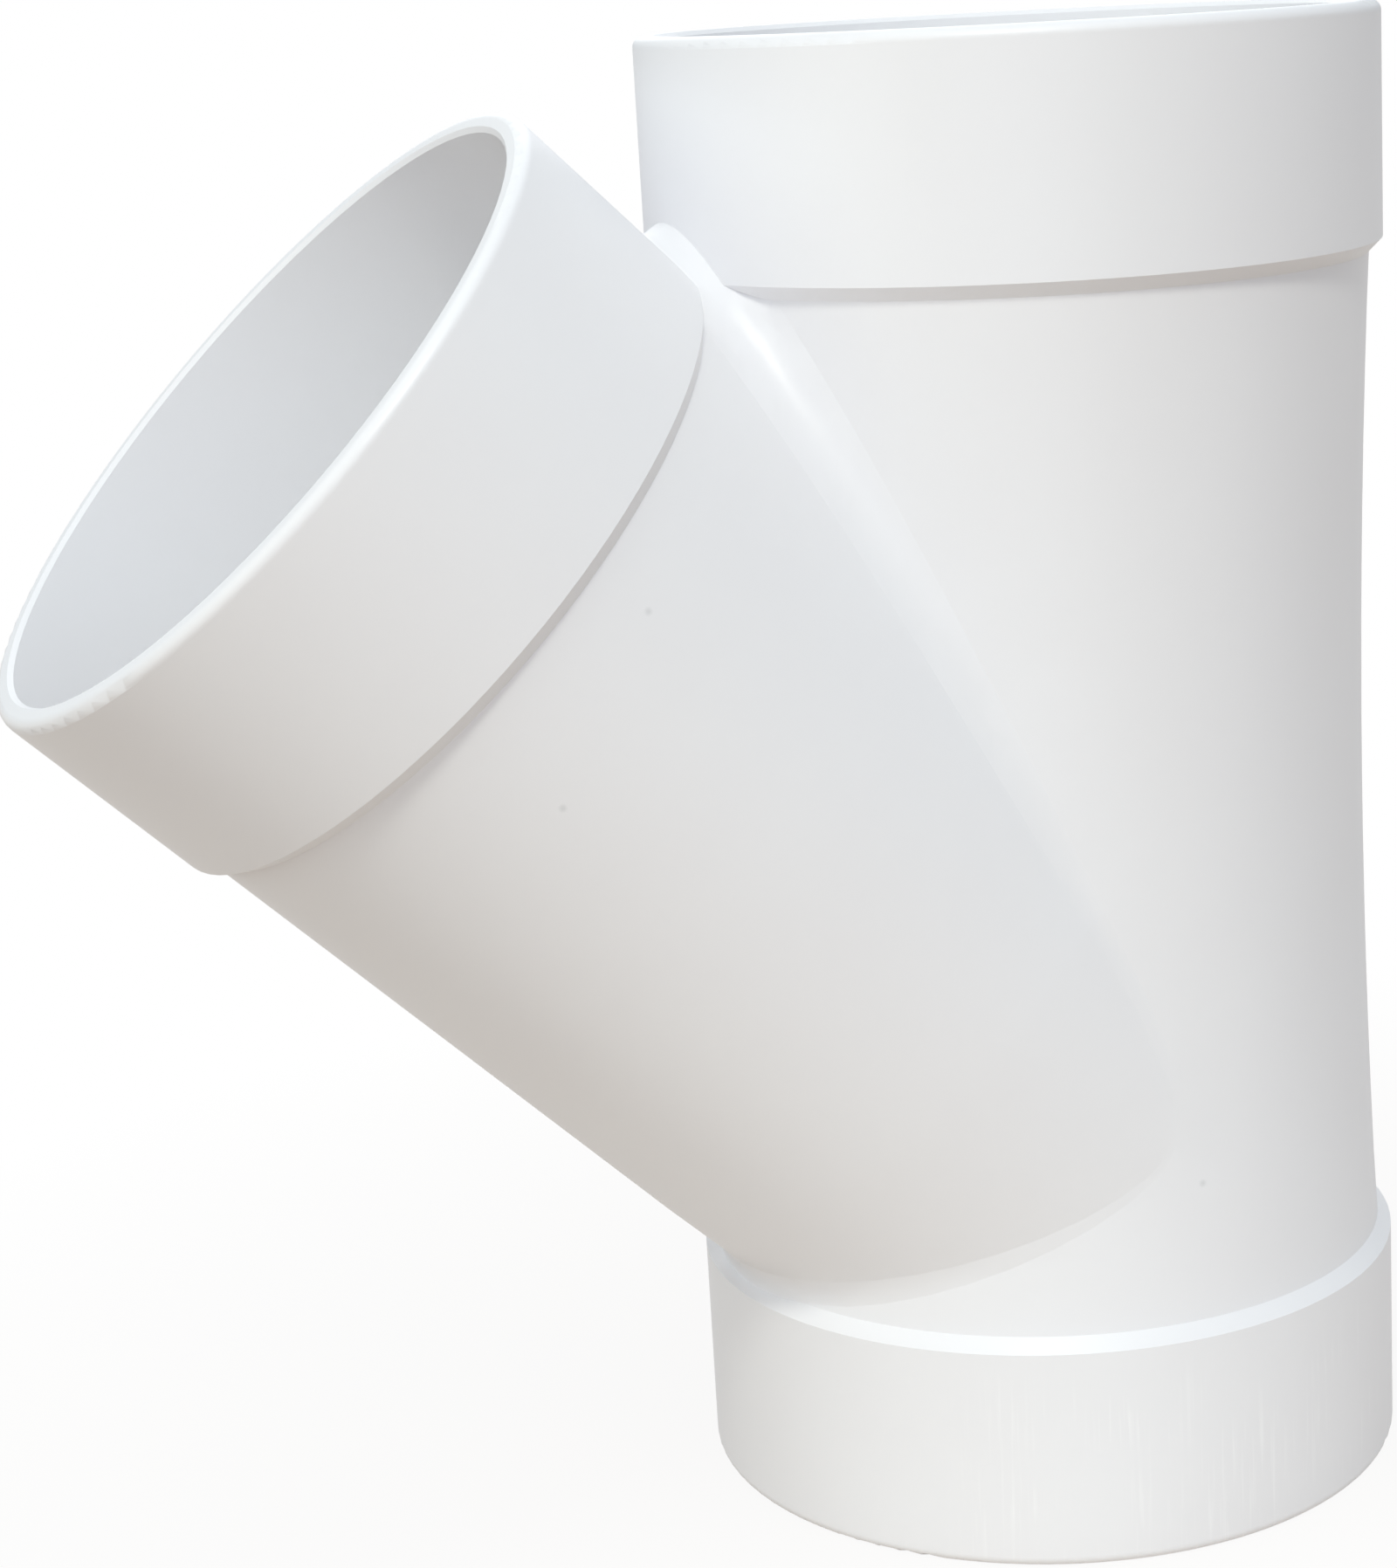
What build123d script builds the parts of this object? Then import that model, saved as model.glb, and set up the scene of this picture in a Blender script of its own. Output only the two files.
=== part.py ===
"""Lateral wye: one moulded fitting that joins a slanted branch pipe to a straight run of drain pipe.

The run stands on Z with its lower mouth on Z = 0. The branch leaves towards -X and rises.
All lengths are in millimetres and all angles in degrees.
"""

import os
from math import cos, radians, sin, tan

from build123d import *

# Pipe and sockets
pipe_diameter = 160.0
socket_clearance = 0.2  # gap round the pipe, on the radius
socket_depth = 58.0
stop_ledge = 4.0  # the ledge that the pipe's end meets is as wide as the pipe's wall
mouth_lead_in = 1.0

# Hubs, the thicker collars round the sockets
hub_wall = 6.0
hub_length = 53.3
rim_radius = 2.6

# Body between the hubs
body_wall = 6.8
waist_depth = 2.7  # how far the run narrows at mid height, on the radius

# Layout of the branch
branch_angle = 45.0
crotch_land = 1.0  # from the crotch up to the shoulder of the upper hub
heel_land = 1.0  # from the heel down to the shoulder of the lower hub
branch_land = 3.0  # from the crotch along the branch to its own shoulder
nose_taper = 2.4  # how far the branch narrows where it ends inside the run, on the radius
nose_length = 60.0
crease_radius = 10.0  # blend between run and branch

# Radii
bore_radius = pipe_diameter / 2 + socket_clearance
hub_radius = bore_radius + hub_wall
passage_radius = bore_radius - stop_ledge
body_radius = passage_radius + body_wall
shoulder = hub_radius - body_radius  # the shoulders slope at 45 degrees, so this is their length too
collar_length = hub_length + shoulder

# The blend between the bodies rises this far above the crotch, so the bodies reach that far into the hubs
blend_rise = crease_radius / tan(radians(branch_angle / 2))
body_overlap = shoulder + blend_rise

# Where the outlines of run and branch cross, measured from the point where their axes cross
sin_b = sin(radians(branch_angle))
cos_b = cos(radians(branch_angle))
crotch_rise = body_radius * (1 + cos_b) / sin_b
heel_drop = body_radius * (1 - cos_b) / sin_b

# Overall layout
crossing_height = collar_length + heel_land + heel_drop
run_length = crossing_height + crotch_rise + crotch_land + collar_length
branch_length = crotch_rise + branch_land + collar_length

branch_plane = Plane(
    origin=(0, 0, crossing_height),
    x_dir=(cos_b, 0, sin_b),
    z_dir=(0, -1, 0),
)
branch_axis = Axis(branch_plane.origin, branch_plane.y_dir)


def hub_outline(mouth: float, inward: int) -> Sketch:
    """Draw half of a hub, with its rounded rim and sloping shoulder.

    Args:
        mouth: Place of the rim along the hub's axis.
        inward: 1 if the hub runs towards larger values from its mouth, -1 if towards smaller ones.

    Returns:
        The closed outline, with the hub's axis on x = 0.
    """
    with BuildSketch() as outline:
        with BuildLine():
            face = Line((0, mouth), (hub_radius - rim_radius, mouth))
            rim = TangentArc(face @ 1, (hub_radius, mouth + inward * rim_radius), tangent=(1, 0))
            Polyline(
                rim @ 1,
                (hub_radius, mouth + inward * hub_length),
                (body_radius, mouth + inward * collar_length),
                (0, mouth + inward * collar_length),
                (0, mouth),
            )
        make_face()
    return outline.sketch


def socket_outline(mouth: float, inward: int) -> Sketch:
    """Draw half of the space in a socket, with its lead-in.

    Args:
        mouth: Place of the rim along the socket's axis.
        inward: 1 if the socket runs towards larger values from its mouth, -1 if towards smaller ones.

    Returns:
        The closed outline, with the socket's axis on x = 0.
    """
    with BuildSketch() as outline:
        with BuildLine():
            Polyline(
                (0, mouth),
                (bore_radius + mouth_lead_in, mouth),
                (bore_radius, mouth + inward * mouth_lead_in),
                (bore_radius, mouth + inward * socket_depth),
                (0, mouth + inward * socket_depth),
                close=True,
            )
        make_face()
    return outline.sketch


def run_body_outline() -> Sketch:
    """Draw half of the run's body, which narrows gently at mid height and reaches into both hubs.

    Returns:
        The closed outline, with the run's axis on x = 0.
    """
    low = collar_length
    high = run_length - collar_length
    with BuildSketch() as outline:
        with BuildLine():
            Spline(
                (body_radius, low),
                (body_radius - waist_depth, (low + high) / 2),
                (body_radius, high),
            )
            Polyline(
                (body_radius, high),
                (body_radius, high + body_overlap),
                (0, high + body_overlap),
                (0, low - body_overlap),
                (body_radius, low - body_overlap),
                (body_radius, low),
            )
        make_face()
    return outline.sketch


def branch_body_outline() -> Sketch:
    """Draw half of the branch's body, which narrows a little where it dies into the run.

    Returns:
        The closed outline, with the branch's axis on x = 0 and the crossing of the axes at y = 0.
    """
    end = branch_length - collar_length + body_overlap
    with BuildSketch() as outline:
        with BuildLine():
            nose = TangentArc(
                (body_radius, nose_length),
                (body_radius - nose_taper, 0),
                tangent=(0, -1),
            )
            Polyline(nose @ 1, (0, 0), (0, end), (body_radius, end), nose @ 0)
        make_face()
    return outline.sketch


with BuildPart() as wye_fitting:
    # Bodies of run and branch
    with BuildSketch(Plane.XZ) as run_body:
        add(run_body_outline())
    revolve(axis=Axis.Z)
    with BuildSketch(branch_plane) as branch_body:
        add(branch_body_outline())
    revolve(axis=branch_axis)

    # Soft valley along the crease between them
    crease = wye_fitting.edges().filter_by(GeomType.BSPLINE)
    fillet(crease, radius=crease_radius)

    # Hubs
    with BuildSketch(Plane.XZ) as run_hubs:
        add(hub_outline(0, 1))
        add(hub_outline(run_length, -1))
    revolve(axis=Axis.Z)
    with BuildSketch(branch_plane) as branch_hub:
        add(hub_outline(branch_length, -1))
    revolve(axis=branch_axis)

    # Passages, as wide as the inside of the pipes
    with BuildSketch(Plane.XZ) as run_passage:
        Rectangle(passage_radius, run_length, align=Align.MIN)
    revolve(axis=Axis.Z, mode=Mode.SUBTRACT)
    with BuildSketch(branch_plane) as branch_passage:
        Rectangle(passage_radius, branch_length, align=Align.MIN)
    revolve(axis=branch_axis, mode=Mode.SUBTRACT)

    # Sockets
    with BuildSketch(Plane.XZ) as run_sockets:
        add(socket_outline(0, 1))
        add(socket_outline(run_length, -1))
    revolve(axis=Axis.Z, mode=Mode.SUBTRACT)
    with BuildSketch(branch_plane) as branch_socket:
        add(socket_outline(branch_length, -1))
    revolve(axis=branch_axis, mode=Mode.SUBTRACT)

wye_fitting.part.label = "wye_fitting"

os.makedirs("parts", exist_ok=True)
export_step(wye_fitting.part, "parts/wye_fitting.step")
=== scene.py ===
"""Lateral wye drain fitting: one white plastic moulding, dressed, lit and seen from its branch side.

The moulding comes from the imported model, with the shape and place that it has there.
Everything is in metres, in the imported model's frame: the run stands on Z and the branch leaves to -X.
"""

import logging
from dataclasses import dataclass, field
from enum import Enum
from math import atan, cos, degrees, radians, sin

import bpy
from mathutils import Matrix, Vector


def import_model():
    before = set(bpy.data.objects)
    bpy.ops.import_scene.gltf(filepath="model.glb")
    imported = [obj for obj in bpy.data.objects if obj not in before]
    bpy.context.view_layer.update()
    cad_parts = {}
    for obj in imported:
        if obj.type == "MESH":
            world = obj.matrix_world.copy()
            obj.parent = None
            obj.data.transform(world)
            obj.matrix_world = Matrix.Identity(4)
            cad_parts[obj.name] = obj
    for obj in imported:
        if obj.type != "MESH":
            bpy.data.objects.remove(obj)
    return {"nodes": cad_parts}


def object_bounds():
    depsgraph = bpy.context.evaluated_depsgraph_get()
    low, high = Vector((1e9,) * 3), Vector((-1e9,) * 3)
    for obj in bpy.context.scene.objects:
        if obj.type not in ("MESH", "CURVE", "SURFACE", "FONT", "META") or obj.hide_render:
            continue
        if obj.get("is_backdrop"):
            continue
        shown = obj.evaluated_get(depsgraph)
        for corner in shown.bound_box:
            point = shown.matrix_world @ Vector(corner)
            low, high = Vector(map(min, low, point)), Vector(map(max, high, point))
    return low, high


LOG = logging.getLogger("wye")

MM = 0.001

FULL = 1.0  # a whole share, or a strength that leaves its input as it is
WHITE = (1.0, 1.0, 1.0, 1.0)

# The sRGB curve, straight near black and a power above that
SRGB_KNEE = 0.04045
SRGB_SLOPE = 12.92
SRGB_OFFSET = 0.055
SRGB_POWER = 2.4

# Sockets of the Mix node when it mixes colours
MIX_SHARE = 0
MIX_FROM = 6
MIX_TO = 7
MIX_RESULT = 2


def linear(hex_colour: str) -> tuple[float, float, float, float]:
    """Turn an sRGB hex colour into the linear values that shaders use.

    Args:
        hex_colour: A colour such as "#E8E8EA".

    Returns:
        Red, green, blue and an alpha of 1.
    """
    digits = hex_colour.lstrip("#")
    srgb = [int(digits[i : i + 2], 16) / 255 for i in (0, 2, 4)]
    channels = [
        c / SRGB_SLOPE if c <= SRGB_KNEE else ((c + SRGB_OFFSET) / (1 + SRGB_OFFSET)) ** SRGB_POWER
        for c in srgb
    ]
    return (channels[0], channels[1], channels[2], 1.0)


def add_node(
    tree: bpy.types.NodeTree,
    kind: str,
    settings: dict[str, object] | None = None,
    values: dict[str | int, object] | None = None,
    links: dict[str | int, bpy.types.NodeSocket] | None = None,
) -> bpy.types.Node:
    """Add a shader node with its settings, its sockets' values and what feeds them.

    Args:
        tree: The node tree that gets the node.
        kind: The node's type, such as "ShaderNodeTexNoise".
        settings: Properties of the node by name.
        values: Values of input sockets by name or number.
        links: Output sockets that feed input sockets, by the input's name or number.

    Returns:
        The new node.
    """
    node = tree.nodes.new(kind)
    for name, value in (settings or {}).items():
        setattr(node, name, value)
    for socket, value in (values or {}).items():
        node.inputs[socket].default_value = value
    for socket, source in (links or {}).items():
        tree.links.new(source, node.inputs[socket])
    return node


@dataclass(frozen=True)
class MouldedPvc:
    """Unplasticised PVC, pigmented white and injection moulded in polished steel.

    The polished mould leaves a soft gloss with a faint unevenness where the wall sank as it cooled.
    A few pale grey specks lie in the skin. The hub that it stands on is scuffed along its length,
    on the side that was dragged over other fittings.
    """

    name: str = "white moulded PVC-U"
    body_tone: str = "#F4F4F6"
    sink_tone: str = "#F1F0F2"
    rub_tone: str = "#FCFCFD"
    speck_tone: str = "#E5E5E7"
    ior: float = 1.53
    gloss: float = 0.4
    rubbed_gloss: float = 0.55
    sink_width: float = 45 * MM
    sink_depth: float = 0.05 * MM
    sink_detail: float = 2.0
    sink_roughness: float = 0.45
    grain_width: float = 0.9 * MM
    grain_depth: float = 0.004 * MM
    grain_detail: float = 1.0
    rub_width: float = 0.9 * MM
    rub_length: float = 30 * MM
    rub_detail: float = 2.0
    rub_start: float = 0.54  # noise below this leaves no scuff
    rub_peak: float = 0.72  # noise above this leaves the strongest scuff
    rub_strength: float = 0.6
    rub_patch: float = 22 * MM
    patch_detail: float = 1.0
    patch_start: float = 0.4  # noise below this is bare of scuffs
    patch_peak: float = 0.6  # noise above this has all of them
    rub_top: float = 50 * MM  # the lower hub ends just above this
    rub_side: float = -58 * MM  # the scuffs start here and cover what lies further towards +X
    rub_fade: float = 14 * MM
    speck_radius: float = 1.1 * MM
    speck_core: float = 0.25  # share of the radius that has the speck's full tone
    speck_places: tuple[tuple[float, float, float], ...] = (
        (-122.4 * MM, -81.4 * MM, 237.0 * MM),
        (-142.8 * MM, -78.7 * MM, 197.6 * MM),
        (2.1 * MM, -81.4 * MM, 89.1 * MM),
    )

    def make(self) -> bpy.types.Material:
        """Build the material.

        Returns:
            The material, which reads Object coordinates only.
        """
        material = bpy.data.materials.new(self.name)
        material.use_nodes = True
        tree = material.node_tree
        tree.nodes.clear()
        place = add_node(tree, "ShaderNodeTexCoord").outputs["Object"]

        sink = add_node(
            tree,
            "ShaderNodeTexNoise",
            values={
                "Scale": 1 / self.sink_width,
                "Detail": self.sink_detail,
                "Roughness": self.sink_roughness,
            },
            links={"Vector": place},
        ).outputs["Fac"]
        grain = add_node(
            tree,
            "ShaderNodeTexNoise",
            values={"Scale": 1 / self.grain_width, "Detail": self.grain_detail},
            links={"Vector": place},
        ).outputs["Fac"]
        rubs = self.rub_marks(tree, place)
        specks = self.specks(tree, place)

        toned = add_node(
            tree,
            "ShaderNodeMix",
            settings={"data_type": "RGBA"},
            values={MIX_FROM: linear(self.body_tone), MIX_TO: linear(self.sink_tone)},
            links={MIX_SHARE: sink},
        ).outputs[MIX_RESULT]
        rubbed = add_node(
            tree,
            "ShaderNodeMix",
            settings={"data_type": "RGBA"},
            values={MIX_TO: linear(self.rub_tone)},
            links={MIX_SHARE: rubs, MIX_FROM: toned},
        ).outputs[MIX_RESULT]
        specked = add_node(
            tree,
            "ShaderNodeMix",
            settings={"data_type": "RGBA"},
            values={MIX_TO: linear(self.speck_tone)},
            links={MIX_SHARE: specks, MIX_FROM: rubbed},
        ).outputs[MIX_RESULT]
        roughness = add_node(
            tree,
            "ShaderNodeMapRange",
            values={"To Min": self.gloss, "To Max": self.rubbed_gloss},
            links={"Value": rubs},
        ).outputs["Result"]
        sunk = add_node(
            tree,
            "ShaderNodeBump",
            values={"Strength": FULL, "Distance": self.sink_depth},
            links={"Height": sink},
        ).outputs["Normal"]
        grained = add_node(
            tree,
            "ShaderNodeBump",
            values={"Strength": FULL, "Distance": self.grain_depth},
            links={"Height": grain, "Normal": sunk},
        ).outputs["Normal"]
        plastic = add_node(
            tree,
            "ShaderNodeBsdfPrincipled",
            values={"IOR": self.ior},
            links={"Base Color": specked, "Roughness": roughness, "Normal": grained},
        ).outputs["BSDF"]
        add_node(tree, "ShaderNodeOutputMaterial", links={"Surface": plastic})
        return material

    def rub_marks(
        self, tree: bpy.types.NodeTree, place: bpy.types.NodeSocket
    ) -> bpy.types.NodeSocket:
        """Add fine scuffs that run along the lower hub, gathered in patches.

        Args:
            tree: The material's node tree.
            place: The Object coordinates.

        Returns:
            A mask that is 0 off the scuffs.
        """
        stretched = add_node(
            tree,
            "ShaderNodeMapping",
            values={"Scale": (1 / self.rub_width, 1 / self.rub_width, 1 / self.rub_length)},
            links={"Vector": place},
        ).outputs["Vector"]
        streaks = add_node(
            tree,
            "ShaderNodeTexNoise",
            values={"Scale": FULL, "Detail": self.rub_detail},
            links={"Vector": stretched},
        ).outputs["Fac"]
        lines = add_node(
            tree,
            "ShaderNodeMapRange",
            values={
                "From Min": self.rub_start,
                "From Max": self.rub_peak,
                "To Max": self.rub_strength,
            },
            links={"Value": streaks},
        ).outputs["Result"]
        patches = add_node(
            tree,
            "ShaderNodeTexNoise",
            values={"Scale": 1 / self.rub_patch, "Detail": self.patch_detail},
            links={"Vector": place},
        ).outputs["Fac"]
        gathered = add_node(
            tree,
            "ShaderNodeMapRange",
            values={"From Min": self.patch_start, "From Max": self.patch_peak},
            links={"Value": patches},
        ).outputs["Result"]
        sides = add_node(tree, "ShaderNodeSeparateXYZ", links={0: place}).outputs
        low = add_node(
            tree,
            "ShaderNodeMapRange",
            values={"From Min": self.rub_top, "From Max": self.rub_top - self.rub_fade},
            links={"Value": sides["Z"]},
        ).outputs["Result"]
        dragged = add_node(
            tree,
            "ShaderNodeMapRange",
            values={"From Min": self.rub_side, "From Max": self.rub_side + self.rub_fade},
            links={"Value": sides["X"]},
        ).outputs["Result"]
        mask = lines
        for limit in (gathered, low, dragged):
            mask = add_node(
                tree,
                "ShaderNodeMath",
                settings={"operation": "MULTIPLY"},
                links={0: mask, 1: limit},
            ).outputs["Value"]
        return mask

    def specks(
        self, tree: bpy.types.NodeTree, place: bpy.types.NodeSocket
    ) -> bpy.types.NodeSocket:
        """Add the few pale grey specks that lie in the skin of the moulding.

        Args:
            tree: The material's node tree.
            place: The Object coordinates.

        Returns:
            A mask that is 1 at a speck's middle and 0 off the specks.
        """
        nearest = None
        for spot in self.speck_places:
            away = add_node(
                tree,
                "ShaderNodeVectorMath",
                settings={"operation": "DISTANCE"},
                values={1: spot},
                links={0: place},
            ).outputs["Value"]
            if nearest is not None:
                away = add_node(
                    tree,
                    "ShaderNodeMath",
                    settings={"operation": "MINIMUM"},
                    links={0: nearest, 1: away},
                ).outputs["Value"]
            nearest = away
        return add_node(
            tree,
            "ShaderNodeMapRange",
            values={
                "From Min": self.speck_radius,
                "From Max": self.speck_radius * self.speck_core,
            },
            links={"Value": nearest},
        ).outputs["Result"]


@dataclass(frozen=True)
class StudioPaper:
    """Matt buff paper, which throws warm light up and looks plain white to the camera.

    A white card with soft edges lies on it in front of the fitting and lights the lower hub.
    Near the fitting a little of the paper's own shade shows through, so that the shadow stays.
    """

    name: str = "matt buff paper"
    sheet_tone: str = "#96826D"
    card_tone: str = "#E4D9CC"
    card_middle: tuple[float, float, float] = (-0.07, -0.30, 0.0)
    card_reach: float = 0.2
    card_fade: float = 0.12
    near_share: float = 0.93  # how much of what the camera sees is plain white, under the fitting
    near_reach: float = 0.09
    far_reach: float = 0.4

    def make(self) -> bpy.types.Material:
        """Build the material.

        Returns:
            The material.
        """
        material = bpy.data.materials.new(self.name)
        material.use_nodes = True
        tree = material.node_tree
        tree.nodes.clear()
        paths = add_node(tree, "ShaderNodeLightPath")
        seen = add_node(
            tree,
            "ShaderNodeMath",
            settings={"operation": "MAXIMUM"},
            links={0: paths.outputs["Is Camera Ray"], 1: paths.outputs["Is Glossy Ray"]},
        ).outputs["Value"]
        seen = add_node(
            tree,
            "ShaderNodeMath",
            settings={"operation": "MAXIMUM"},
            links={0: seen, 1: paths.outputs["Is Transmission Ray"]},
        ).outputs["Value"]
        place = add_node(tree, "ShaderNodeTexCoord").outputs["Object"]
        away = add_node(
            tree, "ShaderNodeVectorMath", settings={"operation": "LENGTH"}, links={0: place}
        ).outputs["Value"]
        whiteness = add_node(
            tree,
            "ShaderNodeMapRange",
            values={
                "From Min": self.near_reach,
                "From Max": self.far_reach,
                "To Min": self.near_share,
                "To Max": FULL,
            },
            links={"Value": away},
        ).outputs["Result"]
        share = add_node(
            tree,
            "ShaderNodeMath",
            settings={"operation": "MULTIPLY"},
            links={0: seen, 1: whiteness},
        ).outputs["Value"]
        from_card = add_node(
            tree,
            "ShaderNodeVectorMath",
            settings={"operation": "DISTANCE"},
            values={1: self.card_middle},
            links={0: place},
        ).outputs["Value"]
        card = add_node(
            tree,
            "ShaderNodeMapRange",
            values={"From Min": self.card_reach + self.card_fade, "From Max": self.card_reach},
            links={"Value": from_card},
        ).outputs["Result"]
        tone = add_node(
            tree,
            "ShaderNodeMix",
            settings={"data_type": "RGBA"},
            values={MIX_FROM: linear(self.sheet_tone), MIX_TO: linear(self.card_tone)},
            links={MIX_SHARE: card},
        ).outputs[MIX_RESULT]
        paper = add_node(tree, "ShaderNodeBsdfDiffuse", links={"Color": tone}).outputs["BSDF"]
        white = add_node(
            tree,
            "ShaderNodeEmission",
            values={"Color": WHITE, "Strength": FULL},
        ).outputs["Emission"]
        sheet = add_node(
            tree, "ShaderNodeMixShader", links={0: share, 1: paper, 2: white}
        ).outputs["Shader"]
        add_node(tree, "ShaderNodeOutputMaterial", links={"Surface": sheet})
        return material


@dataclass
class WyeMoulding:
    """The whole fitting, which is one moulding: run, branch and three hubs."""

    node: bpy.types.Object
    plastic: MouldedPvc = field(default_factory=MouldedPvc)

    def dress(self) -> None:
        """Give the moulding its plastic, in every one of its material slots."""
        material = self.plastic.make()
        for place in self.node.material_slots:
            place.material = material
        LOG.info("%s dressed in %s", self.node.name, self.plastic.name)


class LampRole(Enum):
    """What a lamp does in the studio."""

    KEY = "key"
    FRONT = "front fill"
    SIDE = "side fill"
    BACK = "back fill"


@dataclass(frozen=True)
class SoftBox:
    """A square studio lamp that points at the fitting."""

    role: LampRole
    azimuth: float  # degrees, 0 in front of the fitting and 90 on its right
    elevation: float  # degrees above the floor
    distance: float
    width: float
    watts: float
    tone: str

    def build(self, target: Vector) -> None:
        """Hang the lamp round the target.

        Args:
            target: The point that the lamp faces.
        """
        around = radians(self.azimuth)
        above = radians(self.elevation)
        away = Vector((sin(around) * cos(above), -cos(around) * cos(above), sin(above)))
        data = bpy.data.lights.new(f"{self.role.value} lamp", "AREA")
        data.shape = "SQUARE"
        data.size = self.width
        data.energy = self.watts
        data.color = linear(self.tone)[:3]
        lamp = bpy.data.objects.new(data.name, data)
        lamp.location = target + away * self.distance
        lamp.rotation_euler = away.to_track_quat("Z", "Y").to_euler()
        bpy.context.scene.collection.objects.link(lamp)
        LOG.info("%s hung", lamp.name)


@dataclass
class Studio:
    """Floor, daylight and lamps."""

    lowest: Vector
    highest: Vector
    paper: StudioPaper = field(default_factory=StudioPaper)
    floor_width: float = 60.0
    daylight_tone: str = "#EFF7FF"
    daylight_level: float = 0.68
    lamps: tuple[SoftBox, ...] = (
        SoftBox(LampRole.KEY, -21.0, 50.0, 1.9, 0.3, 12.0, "#FDFFF6"),
        SoftBox(LampRole.FRONT, -20.0, 5.0, 1.9, 1.2, 4.0, "#DCE4FF"),
        SoftBox(LampRole.SIDE, -75.0, 20.0, 1.9, 1.4, 7.0, "#FCFFF0"),
        SoftBox(LampRole.BACK, 160.0, 30.0, 1.9, 1.2, 6.0, "#FFFFFF"),
    )

    def lay_floor(self) -> None:
        """Lay the paper under the fitting, as a part of the stage."""
        bpy.ops.object.select_all(action="DESELECT")
        bpy.ops.mesh.primitive_plane_add(size=self.floor_width, location=(0, 0, self.lowest.z))
        floor = bpy.context.object
        floor.name = "studio_floor"
        floor.data.materials.append(self.paper.make())
        floor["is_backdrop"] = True
        LOG.info("floor laid at %.4f m", self.lowest.z)

    def let_daylight_in(self) -> None:
        """Light the fitting evenly from all round, and show plain white behind it."""
        world = bpy.data.worlds.new("even daylight")
        bpy.context.scene.world = world
        world.use_nodes = True
        tree = world.node_tree
        tree.nodes.clear()
        paths = add_node(tree, "ShaderNodeLightPath")
        seen = add_node(
            tree,
            "ShaderNodeMath",
            settings={"operation": "MAXIMUM"},
            links={0: paths.outputs["Is Camera Ray"], 1: paths.outputs["Is Transmission Ray"]},
        ).outputs["Value"]
        daylight = add_node(
            tree,
            "ShaderNodeBackground",
            values={"Color": linear(self.daylight_tone), "Strength": self.daylight_level},
        ).outputs["Background"]
        white = add_node(
            tree,
            "ShaderNodeBackground",
            values={"Color": WHITE, "Strength": FULL},
        ).outputs["Background"]
        sky = add_node(
            tree, "ShaderNodeMixShader", links={0: seen, 1: daylight, 2: white}
        ).outputs["Shader"]
        add_node(tree, "ShaderNodeOutputWorld", links={"Surface": sky})

    def build(self) -> None:
        """Set up the whole studio."""
        self.lay_floor()
        self.let_daylight_in()
        middle = (self.lowest + self.highest) / 2
        for lamp in self.lamps:
            lamp.build(middle)
        bpy.context.scene.view_settings.view_transform = "Standard"


@dataclass(frozen=True)
class Viewpoint:
    """Where the camera stands and how it is held. Angles are in degrees and lengths in metres."""

    azimuth: float = 20.77  # turned from +Y towards +X
    elevation: float = 14.23
    roll: float = -3.03
    distance: float = 0.7907
    target: tuple[float, float, float] = (-0.0603, 0.0, 0.1687)
    lens_mm: float = 76.01
    sensor_mm: float = 36.0
    shift_x: float = -0.0657
    shift_y: float = 0.0159
    nearest: float = 0.01  # nothing closer or further than these is seen
    furthest: float = 200.0

    def build(self) -> None:
        """Set up the scene's own camera."""
        around = radians(self.azimuth)
        above = radians(self.elevation)
        tilt = radians(self.roll)
        forward = Vector((sin(around) * cos(above), cos(around) * cos(above), -sin(above)))
        level = Vector((cos(around), -sin(around), 0.0))
        upright = level.cross(forward)
        right = level * cos(tilt) + upright * sin(tilt)
        up = right.cross(forward)
        data = bpy.data.cameras.new("studio camera")
        data.lens = self.lens_mm
        data.sensor_width = self.sensor_mm
        data.shift_x = self.shift_x
        data.shift_y = self.shift_y
        data.clip_start = self.nearest
        data.clip_end = self.furthest
        camera = bpy.data.objects.new(data.name, data)
        turn = Matrix((right, up, -forward)).transposed().to_4x4()
        stand = Vector(self.target) - forward * self.distance
        camera.matrix_world = Matrix.Translation(stand) @ turn
        bpy.context.scene.collection.objects.link(camera)
        bpy.context.scene.camera = camera
        angle = degrees(2 * atan(self.sensor_mm / 2 / self.lens_mm))
        LOG.info("camera set, %.1f degrees along its long side", angle)


def main() -> None:
    """Build the scene."""
    logging.basicConfig(level=logging.INFO, format="%(name)s: %(message)s")
    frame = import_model()
    cad_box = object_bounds()
    WyeMoulding(frame["nodes"]["wye_fitting"]).dress()
    Studio(*cad_box).build()
    Viewpoint().build()


if __name__ == "__main__":
    main()
